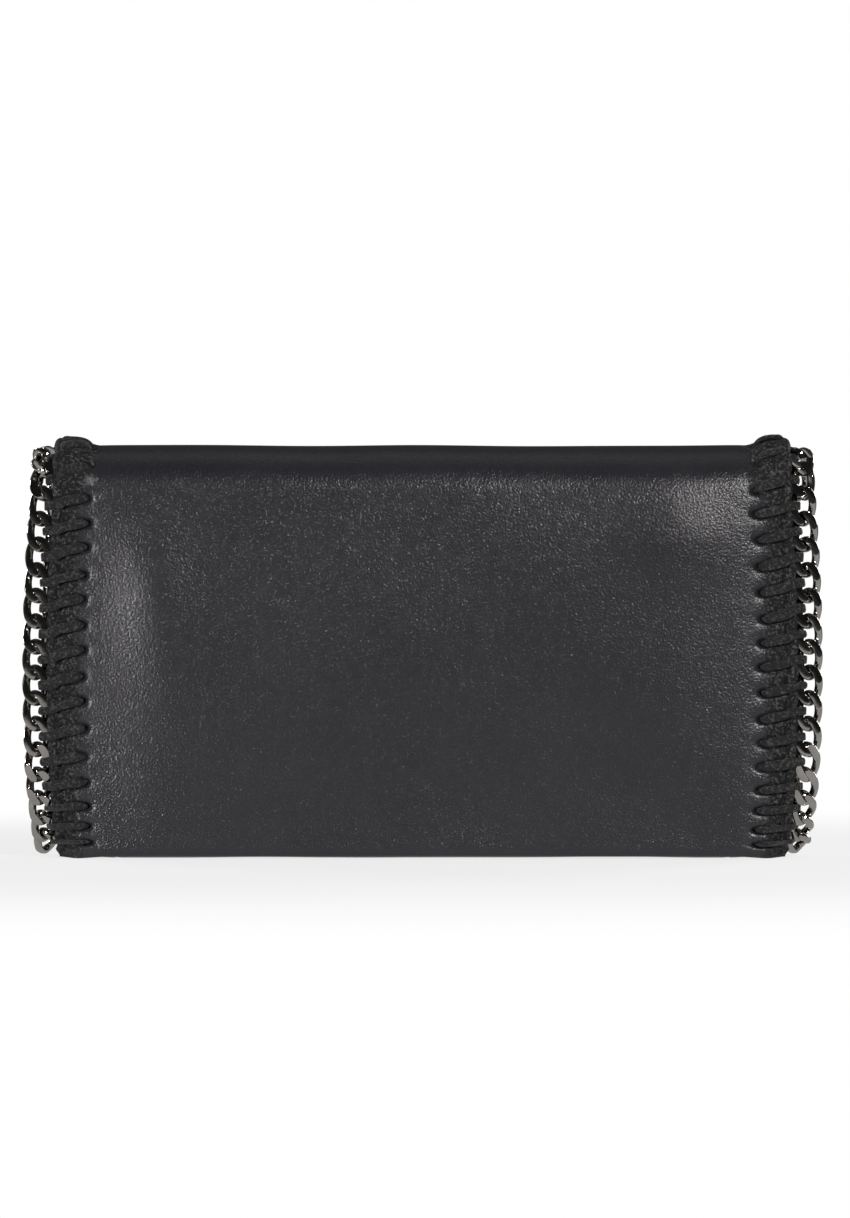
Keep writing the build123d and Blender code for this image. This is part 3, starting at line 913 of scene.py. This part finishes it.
# ---------------------------------------------------------------- shapes for the inside
def slab(half_width, low, high, thick, corner=1.0, centre=0.0, rows=46, columns=64, lift=None):
    """A soft-edged sheet: loops (x, depth, z) with rounded rims and lower corners, lifted forward by a function."""
    rim = thick / 2
    edge_z = rim * (1 - np.cos(np.linspace(0, math.pi / 2, 6)))
    nose = np.linspace(-math.pi / 2, math.pi / 2, 7)[1:-1]
    heights = np.concatenate([low + edge_z, np.linspace(low + rim, high - rim, rows)[1:-1], high - edge_z[::-1]])
    across = np.linspace(-1, 1, columns)
    across = np.sign(across) * (1 - (1 - np.abs(across)) ** 1.25)
    rings = []
    for z in heights:
        drop = np.clip(corner - (z - low), 0, corner)
        half = half_width - (corner - math.sqrt(max(corner**2 - drop**2, 0.0)))
        end = min(z - low, high - z, rim)
        swell = math.sqrt(max(1 - ((rim - end) / rim) ** 2, 0.0))
        x = across * (half - rim)
        bow = lift(x + centre, z) if lift else np.zeros_like(x)
        front = np.stack([x, -swell * rim - bow], -1)
        back = np.stack([x[::-1], swell * rim - bow[::-1]], -1)
        right = np.stack([half - rim + rim * np.cos(nose), swell * rim * np.sin(nose) - bow[-1]], -1)
        loop = np.concatenate([front, right, back, right[::-1] * (-1, 1)])
        rings.append(at_height(loop + (centre, 0), z))
    return np.array(rings)


def slab_piece(name, look, body, node_name, corner, rests_on=None, top=None, **shape):
    """A soft sheet that fills the box of its CAD node, or ends at another height."""
    low, high = box_mm(node_name)
    top = top or high.z
    rings = slab(high.x, low.z, top, high.y - low.y, corner, **shape)
    rings[:, :, 1] += (low.y + high.y) / 2
    obj = loft_piece(name, rings, look, body, node_name)


def stitch_line(pieces, start, end, step=2.4, thick=0.22):
    """Short rounded threads in a row between two points."""
    start, end = np.array(start, float), np.array(end, float)
    length = np.linalg.norm(end - start)
    forward = (end - start) / length
    count = max(1, int(length / step))
    gap = length / count
    first = unit(np.cross(forward, (0.0, 1.0, 0.0)))
    second = np.cross(forward, first)
    for i in range(count):
        middle = start + forward * (i + 0.5) * gap
        rings = []
        for t in np.linspace(-1, 1, 7):
            swell = thick * math.sqrt(max(1 - t**4, 0.02))
            rings.append([middle + forward * t * gap * 0.42 + (first * ca + second * sa) * swell
                          for ca, sa in around(8)])
        pieces.add_loft(rings)


def lathe(profile, centre, steps=64):
    """A solid turned about the wallet's depth axis, from (radius, y) points."""
    verts = [(centre[0] + radius * ca, y, centre[1] + radius * sa)
             for radius, y in profile for ca, sa in around(steps)]
    return verts, loft(np.empty((len(profile), steps)), caps=False)


def block_mesh(low, high, bevel=0.15, taper=0.0):
    """A small block with eased edges, its top drawn in by taper."""
    work = bmesh.new()
    low, high = Vector(low), Vector(high)
    bmesh.ops.create_cube(work, size=1.0)
    for vert in work.verts:
        top = vert.co.z > 0
        for axis in range(3):
            vert.co[axis] = high[axis] if vert.co[axis] > 0 else low[axis]
        if top and taper:
            middle = (low.x + high.x) / 2
            vert.co.x = middle + (vert.co.x - middle) * (1 - taper)
    bmesh.ops.bevel(work, geom=work.edges[:], offset=bevel, segments=2, profile=0.6, affect="EDGES")
    return bmesh_arrays(work)


def cut_hole(obj, x, z, radius):
    """Take a round hole out of a flat sheet."""
    work = bmesh.new()
    work.from_mesh(obj.data)
    gone = []
    for face in work.faces:
        middle = face.calc_center_median() / MM
        if math.hypot(middle.x - x, middle.z - z) < radius:
            gone.append(face)
    bmesh.ops.delete(work, geom=gone, context="FACES")
    work.to_mesh(obj.data)
    work.free()




# ---------------------------------------------------------------- linings and snap
def lining_ring(width, board=0.0):
    """One cross-section loop of the cloth lining that follows the leather: x and n."""
    x = np.linspace(-1, 1, 90) * (width - 0.35)
    nose = np.linspace(math.pi / 2, -math.pi / 2, 7)[1:-1]
    outer = OUT - LEATHER - board
    rim = LINING / 2
    right = np.stack([width - rim + rim * np.cos(nose), outer - rim + rim * np.sin(nose)], -1)
    front = np.stack([x, np.full_like(x, outer)], -1)
    back = np.stack([x[::-1], np.full_like(x, outer - LINING)], -1)
    loop = np.concatenate([front, right, back, right[::-1] * (-1, 1)])
    return loop[:, 0], loop[:, 1]


def linings():
    width = float(half_width(SKIN_TOP)) - LINING_IN
    low = box_mm("flap_lining")[0].z + LINING_LOW
    rings = []
    for z in np.linspace(SKIN_TOP, low, 90):
        x, n = lining_ring(float(half_width(z)) - LINING_IN)
        rings.append(on_flap(x, z, n))
    rings = np.array(rings)
    obj = new_object("flap_lining_cloth", rings, loft(rings), CLOTH)
    cut_hole(obj, SOCKET_X, SOCKET_Z, SOCKET_HOLE)
    settle(obj, CLOTH, "flap", "flap_lining")
    for number in range(1, 7):
        rings = []
        for c in fold_span(number):
            x, n = lining_ring(width, 0.35 * float(smooth((-LINKS_ON_FOLD - 0.1 - c) / 0.4)))
            rings.append(place_row(x, c, n))
        rings = np.array(rings)
        obj = new_object(f"fold_lining_cloth_{number}", rings, loft(rings), CLOTH)
        fold_blend(obj, number, CLOTH, "fold_lining")
    slab_piece("back_lining_cloth", CLOTH, "shell", "back_lining", BACK_CORNER, ["back_board"], SKIN_TOP, rows=60)
    slab_piece("back_board", BOARD, "shell", "back_stiffener", BACK_CORNER, rows=24)


socket_low, socket_high = box_mm("snap_socket")
SOCKET_X = (socket_low.x + socket_high.x) / 2
SOCKET_Z = (socket_low.z + socket_high.z) / 2


def snap_parts():
    low, face = socket_low.y, socket_high.y
    radius = (socket_high.x - socket_low.x) / 2
    profile = [(2.75, low + 0.05), (2.75, face - 0.15), (2.95, face), (3.5, face + 0.03), (3.9, face - 0.12),
               (4.3, face - 0.08), (4.9, face), (5.3, face - 0.12), (radius, face - 0.3), (radius, low + 0.1),
               (radius - 0.2, low), (2.9, low), (2.75, low + 0.05)]
    pieces = Pieces()
    pieces.add(*lathe(profile, (SOCKET_X, SOCKET_Z)))
    wire = 0.18
    for side in (-1, 1):
        pieces.add_loft([[(SOCKET_X + side * 2.2 + wire * ca, (low + face) / 2 + wire * sa, SOCKET_Z + z)
                          for ca, sa in around(8)] for z in np.linspace(-1.6, 1.6, 9)])
    pieces.settle("snap_socket_ring", SNAP, "flap", "snap_socket", sharp=30)
    low, high = box_mm("snap_stud")
    plate = high.y - 1.0
    top = low.y
    profile = [(0.01, top), (1.2, top), (1.75, top + 0.12), (1.98, top + 0.35), (1.85, top + 0.62),
               (1.9, plate - 0.03), (2.6, plate + 0.02), (3.4, plate), (4.3, plate + 0.04), (4.8, plate + 0.16),
               (5.0, plate + 0.4), (5.0, high.y - 0.1), (4.8, high.y), (0.01, high.y)]
    stud = Pieces()
    stud.add(*lathe(profile, ((low.x + high.x) / 2, (low.z + high.z) / 2)))
    stud.settle("snap_stud_post", SNAP, "front_section", "snap_stud", sharp=30)


# ---------------------------------------------------------------- panels and pockets
def front_panels():
    slab_piece("front_panel_leather", BODY, "front_section", "front_panel", PANEL_CORNER, rows=70, columns=90)
    slab_piece("front_lining_cloth", CLOTH, "front_section", "front_lining", PANEL_CORNER,
               ["front_panel_leather"], rows=50)
    low, high = box_mm("front_panel")
    face = low.y
    threads = Pieces()
    stitch_line(threads, (-high.x + 2.5, face, high.z - SEAM_IN), (high.x - 2.5, face, high.z - SEAM_IN))
    for side in (-1, 1):
        x = side * (high.x - SEAM_IN)
        stitch_line(threads, (x, face, low.z + PANEL_CORNER), (x, face, high.z - 2.5))
        inner = PANEL_CORNER - SEAM_IN
        centre_x, centre_z = high.x - PANEL_CORNER, low.z + PANEL_CORNER
        corner = [(side * (centre_x + inner * math.cos(a)), face, centre_z - inner * math.sin(a))
                  for a in np.linspace(0, math.pi / 2, 11)]
        for start, end in zip(corner[:-1], corner[1:]):
            stitch_line(threads, start, end)
    x = high.x - PANEL_CORNER
    stitch_line(threads, (-x, face, low.z + SEAM_IN), (x, face, low.z + SEAM_IN))
    threads.settle("front_panel_stitching", THREAD, "front_section", sharp=60)


def card_rows(name, body, node_name, outward):
    """Stepped card pockets: three rows of two, each with a turned top edge and a row of stitches.

    outward is 1 where the pockets face the back, -1 where they face the front.
    """
    low, high = box_mm(node_name)
    thick = (high.y - low.y) / 3
    inset = 1.0
    half = (high.x - inset) / 2
    step, deep = 8, 42
    hem_high, hem_deep = 0.07, 2.6
    leather, threads = Pieces(), Pieces()
    for row in range(3):
        y = (low.y if outward > 0 else high.y) + outward * (row + 0.5) * thick
        face = y + outward * thick / 2
        top = high.z - step * row
        bottom = top - deep

        def hem(x, z, top=top):
            return -outward * hem_high * float(rise(z, top - hem_deep, 0.5)) * np.ones_like(x)

        for side in (-1, 1):
            centre = side * (inset + half)
            rings = slab(half, bottom, top, thick * 0.86, corner=1.5, centre=centre, rows=40, columns=30, lift=hem)
            rings[:, :, 1] += y
            leather.add_loft(rings)
            lines = [((1 - half, top - 2.2), (half - 1, top - 2.2))]
            if row == 2:
                x = half - 1.3
                lines += [((edge * x, bottom + 1.5), (edge * x, top - 2.6)) for edge in (-1, 1)]
                lines.append(((-x, bottom + 1.5), (x, bottom + 1.5)))
            for (xa, za), (xb, zb) in lines:
                stitch_line(threads, (centre + xa, face, za), (centre + xb, face, zb), 2.2, 0.15)
    leather.settle(f"{name}_leather", BODY, body, node_name)
    threads.settle(f"{name}_stitching", THREAD, body, sharp=60)


def coin_pocket():
    for node_name in ("coin_front_wall", "coin_rear_wall"):
        slab_piece(node_name + "_cloth", CLOTH, "coin_section", node_name, PANEL_CORNER, [], rows=60, columns=70)
    low, high = box_mm("coin_sides")
    t = np.linspace(0, 1, 13)
    y = low.y + (high.y - low.y) * t
    sides = Pieces()
    for side in (-1, 1):
        rings = []
        for z in np.linspace(low.z, high.z, 40):
            x = high.x - 0.05 - 1.2 * np.sin(math.pi * t) * smooth((high.z - z) / 12)
            rings.append(at_height(band((side * x, y), (side * (x - 0.42), y)), z))
        sides.add_loft(rings)
    sides.settle("coin_sides_cloth", CLOTH, "coin_section", "coin_sides")
    low, high = box_mm("coin_floor")
    y = low.y + (high.y - low.y) * t
    loop = band((y, np.full_like(y, low.z + 0.02)), (y, high.z - 0.18 * np.sin(math.pi * t)))
    base = Pieces()
    base.add_loft([at_width(loop, x) for x in np.linspace(low.x, high.x, 60)])
    base.settle("coin_floor_cloth", CLOTH, "coin_section", "coin_floor")


def gussets():
    """Side gussets: leather strips with one pleat folded inward."""
    t = np.linspace(-1, 1, 25)
    sharp = 0.16
    fold = (np.sqrt(t**2 + sharp**2) - sharp) / (math.sqrt(1 + sharp**2) - sharp)
    for node_name, body_a, body_b in (
            ("gusset_rear", "shell", "coin_section"), ("gusset_front", "coin_section", "front_section")):
        for side, end in SIDES:
            low, high = box_mm(f"{node_name}_{end}")
            edge = max(abs(low.x), abs(high.x))
            depth = edge - min(abs(low.x), abs(high.x))
            y = (low.y + high.y) / 2 + t * ((high.y - low.y) / 2 - 0.25)
            rings = []
            for z in np.linspace(low.z, high.z, 60):
                x = edge - depth * (1 - fold) * (0.9 + 0.1 * math.sin(z / 9.0))
                slope = unit(np.stack([np.gradient(x), np.gradient(y)], -1))
                thick_x, thick_y = 0.144 * slope[:, 1], -0.072 * slope[:, 0]
                loop = band((side * (x + thick_x), y + thick_y), (side * (x - thick_x), y - thick_y))
                rings.append(at_height(loop, z))
            piece = Pieces()
            piece.add_loft(rings)
            obj = piece.make(f"{node_name}_{end}_leather", BODY, 50)
            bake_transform(obj)
            take_place(obj, BODY, f"{node_name}_{end}")


# ---------------------------------------------------------------- zip
def near_far(node_name, towards):
    """A zip node's box, and its y next to the zip's middle and away from it."""
    low, high = box_mm(node_name)
    return low, high, *((high.y, low.y) if towards > 0 else (low.y, high.y))


def zip_tape(node_name, towards):
    low, high, near, far = near_far(node_name, towards)
    t = np.linspace(0, 1, 12)
    y = far + (near - far) * t
    top = high.z - 0.12 + 0.112 * bell(t, 0.93, 0.06) - 0.06 * np.sin(math.pi * t)
    loop = band((y, top), (y, np.full_like(y, low.z + 0.02)))
    tape, threads = Pieces(), Pieces()
    tape.add_loft([at_width(loop, x) for x in np.linspace(low.x, high.x, 120)])
    tape.settle(node_name + "_cloth", TAPE, "coin_section", node_name)
    y = far + (near - far) * 0.28
    step, end = 2.4, 1.5
    for i in range(int((high.x - low.x - 2 * end) / step)):
        x = low.x + end + step * (i + 0.5)
        threads.add_loft([[(x + t, y + 0.16 * ca * w, high.z - 0.1 + 0.13 * sa * w) for ca, sa in around(8)]
                          for t, w in ((-1, 0.3), (-0.8, 0.9), (0, 1), (0.8, 0.9), (1, 0.3))])
    threads.settle(node_name + "_stitching", THREAD, "coin_section", sharp=60)


def zip_teeth(node_name, towards):
    """Each tooth is a block with a wider nose."""
    low, high, near, far = near_far(node_name, towards)
    teeth = Pieces()
    count, half_nose = 73, 0.6
    for x in np.linspace(low.x + half_nose, high.x - half_nose, count):
        y0, y1 = sorted((far, near - towards * 0.06))
        teeth.add(*block_mesh((x - 0.46, y0, low.z), (x + 0.46, y1, high.z - 0.12), 0.14, 0.2))
        y0, y1 = sorted((near - towards * 0.4, near))
        teeth.add(*block_mesh((x - half_nose, y0, low.z + 0.22), (x + half_nose, y1, high.z - 0.28), 0.16))
    teeth.settle(node_name + "_metal", ZIP_METAL, "coin_section", node_name, sharp=35)


def zip_stops():
    low, high = box_mm("zip_stops")
    stops = Pieces()
    for x in (low.x + 1, high.x - 1):
        stops.add(*block_mesh((x - 1, low.y, low.z), (x + 1, high.y, high.z), 0.35))
    stops.settle("zip_stop_clips", ZIP_METAL, "coin_section", "zip_stops", sharp=35)


def plate_outline(low_x, high_x, half):
    """Outline of a slider plate seen from above: broad at the mouth, drawn in at the tail."""
    points = [(low_x + (high_x - low_x) * t, half * (1 - 0.28 * smooth(t))) for t in np.linspace(0, 1, 15)]
    return points + [(x, -w) for x, w in reversed(points)]


def plate_mesh(outline, y, low, high, ease=0.18):
    """A flat plate with eased edges, from an outline of (x, y) points."""
    def drawn_in(offset, shrink):
        return offset - math.copysign(min(shrink, abs(offset)), offset)

    centre_x = sum(p[0] for p in outline) / len(outline)
    rings = []
    for z, shrink in ((low, ease), (low + ease * 0.3, ease * 0.3), (low + ease, 0), (high - ease, 0),
                      (high - ease * 0.3, ease * 0.3), (high, ease)):
        rings.append([(centre_x + drawn_in(px - centre_x, shrink), y + drawn_in(py, shrink), z) for px, py in outline])
    return rings


def slider():
    """The zip's slider: two plates, the bridge between them and the loop that holds the pull."""
    low, high = box_mm("zip_slider")
    y = (low.y + high.y) / 2
    plate = 0.7
    top = high.z - 1.9
    pieces = Pieces()
    pieces.add_loft(plate_mesh(plate_outline(low.x, high.x, (high.y - low.y) / 2), y, top - plate, top))
    pieces.add_loft(plate_mesh(plate_outline(low.x, high.x, 1.7), y, low.z, low.z + plate))
    bridge_top = top - plate + 0.2
    pieces.add(*block_mesh((low.x + 0.2, y - 0.28, low.z + 0.5), (high.x - 0.2, y + 0.28, bridge_top), 0.1))
    middle = (low.x + high.x) / 2
    rising = [(-2.4, -0.1), (-2.35, 0.9), (-2.0, 1.45), (-1.2, 1.66)]
    arch = rising + [(0, 1.7)] + [(-x, z) for x, z in reversed(rising)]
    route = smooth_path([(middle + 0.87 * x, y, top + z) for x, z in arch], 40)
    rings = []
    across = np.array((0, 1, 0))
    for point, forward in zip(route, unit(np.gradient(route, axis=0))):
        up = np.cross(forward, across)
        rings.append([point + across * power(ca, 0.6) * 0.58 + up * power(sa, 0.6) * 0.21 for ca, sa in around(14)])
    pieces.add_loft(rings)
    pieces.settle("zip_slider_body", ZIP_METAL, "slider", "zip_slider", sharp=32)


def pull():
    """The pull tab: a rounded plate with two arms and the pin that turns in the slider's loop."""
    low, high = box_mm("zip_pull")
    y = (low.y + high.y) / 2
    axis = (low.z + high.z) / 2
    thick = (high.z - low.z) / 2
    half = (high.y - low.y) / 2
    hinge = high.x - thick
    outline = [(low.x + half + half * math.cos(a), half * math.sin(a))
               for a in np.linspace(math.pi / 2, 3 * math.pi / 2, 15)]
    shoulder = [(hinge - 6.0, -half * 0.82), (hinge - 3.4, -half * 0.92)]
    outline += shoulder + [(x, -w) for x, w in reversed(shoulder)]
    pieces = Pieces()
    pieces.add_loft(plate_mesh(outline, y, axis - thick, axis + thick, 0.14))
    for side in (-1, 1):
        ends = sorted((y + side * half, y + side * (half - 0.9)))
        pieces.add(*block_mesh((hinge - 3.6, ends[0], axis - thick), (hinge + 0.2, ends[1], axis + thick), 0.14))
    pin = thick * 0.95
    pieces.add_loft([[(hinge + pin * ca, y + t, axis + pin * sa) for ca, sa in around(20)]
                     for t in np.linspace(-half + 0.05, half - 0.05, 8)])
    pieces.settle("zip_pull_tab", ZIP_METAL, "pull", "zip_pull", sharp=32)


# ---------------------------------------------------------------- studio, in metres
def put(name, data):
    obj = bpy.data.objects.new(name, data)
    bpy.context.scene.collection.objects.link(obj)
    return obj


def camera():
    """Square on to the flap and far away, as wide as the photograph."""
    distance = 1.25
    seen_width = 0.2021
    beside, above = 0.0006, 0.0594
    data = bpy.data.cameras.new("camera")
    data.sensor_fit = "HORIZONTAL"
    data.sensor_width = 36.0
    data.lens = data.sensor_width * distance / seen_width
    data.clip_end = 20
    obj = put("camera", data)
    obj.location = (beside, (FLAP_Y - OUT) * MM - distance, above)
    obj.rotation_euler = (math.pi / 2, 0, 0)
    bpy.context.scene.camera = obj


def area_light(name, place, target, size, power, tint=(1, 1, 1)):
    data = bpy.data.lights.new(name, "AREA")
    data.shape = "RECTANGLE"
    data.size, data.size_y = size
    data.energy = power
    data.color = tint
    obj = put(name, data)
    obj.location = place
    aim = Vector(target) - Vector(place)
    obj.rotation_euler = aim.to_track_quat("-Z", "Y").to_euler()


def world():
    """White to the camera. All else sees a dim studio, a little less dim behind the wallet."""
    surround = bpy.data.worlds.new("studio")
    bpy.context.scene.world = surround
    shader = Shader(surround)
    split = shader.join(shader.add("TexCoord").outputs["Generated"], shader.add("SeparateXYZ"), "Vector")
    seen = shader.add("Mix", data_type="RGBA")
    shader.join(shader.add("LightPath").outputs["Is Camera Ray"], seen, "Factor")
    shader.join(shader.spread(split.outputs["Y"], -0.5, 0.6, 0.015, 0.07), seen, "A")
    seen.inputs["B"].default_value = (1, 1, 1, 1)
    shader.join(seen.outputs["Result"], shader.nodes["Background"], "Color")


def floor():
    """A pale floor that fades into the white surround, and lights the wallet from below only near it."""
    reach = 3.0
    mesh = bpy.data.meshes.new("floor")
    corners = [(x * reach, y * reach, 0) for x, y in ((-1, -1), (1, -1), (1, 1), (-1, 1))]
    mesh.from_pydata(corners, [], [(0, 1, 2, 3)])
    obj = put("floor", mesh)
    material, shader, bsdf = new_material("floor", Base_Color=(0.9, 0.9, 0.9, 1), Roughness=0.6)
    away = shader.join(shader.coords(), shader.add("VectorMath", operation="LENGTH")).outputs["Value"]
    fade = shader.spread(away, 0.1, 0.36, low=0.75, kind="SMOOTHERSTEP")
    glow = shader.add("MapRange")
    shader.join(shader.spread(away, 0.2, 0.55, 0.5, 0.04), glow, "To Min")
    shader.join(shader.add("LightPath").outputs["Is Camera Ray"], glow, "Value")
    white = shader.join(glow.outputs["Result"], shader.add("Emission"), "Strength")
    mix = shader.join(fade, shader.add("MixShader"), "Fac")
    shader.join(bsdf.outputs["BSDF"], mix, 1)
    shader.join(white.outputs["Emission"], mix, 2)
    shader.join(mix.outputs["Shader"], shader.nodes["Material Output"], "Surface")
    mesh.materials.append(material)


def studio():
    camera()
    world()
    floor()
    bpy.context.scene.view_settings.view_transform = "Standard"
    area_light("key_left", (-0.78, -0.95, 0.16), (-0.06, 0, 0.06), (0.18, 0.2), 8.2, (1.0, 0.98, 1.0))
    area_light("key_top_right", (0.55, -1.0, 0.56), (0.05, 0, 0.085), (0.22, 0.18), 10.0, (1.0, 0.97, 0.95))
    area_light("back_right", (0.85, 0.9, 0.42), (0.03, 0, 0.05), (0.4, 0.5), 7.0)
    area_light("back_left", (-0.9, 0.8, 0.36), (-0.03, 0, 0.05), (0.4, 0.5), 7.0)
    area_light("top", (0.0, 0.15, 1.2), (0, 0, 0.05), (0.8, 0.4), 0.5)


flap_skin()
fold_skin()
back_skin()
flap_laces()
fold_laces()
chains()
linings()
snap_parts()
front_panels()
card_rows("front_cards", "front_section", "front_card_pockets", 1)
card_rows("rear_cards", "shell", "rear_card_pockets", -1)
coin_pocket()
for node_name, towards in (("zip_tape_front", 1), ("zip_tape_rear", -1)):
    zip_tape(node_name, towards)
for node_name, towards in (("zip_teeth_front", 1), ("zip_teeth_rear", -1)):
    zip_teeth(node_name, towards)
zip_stops()
slider()
pull()
gussets()
studio()
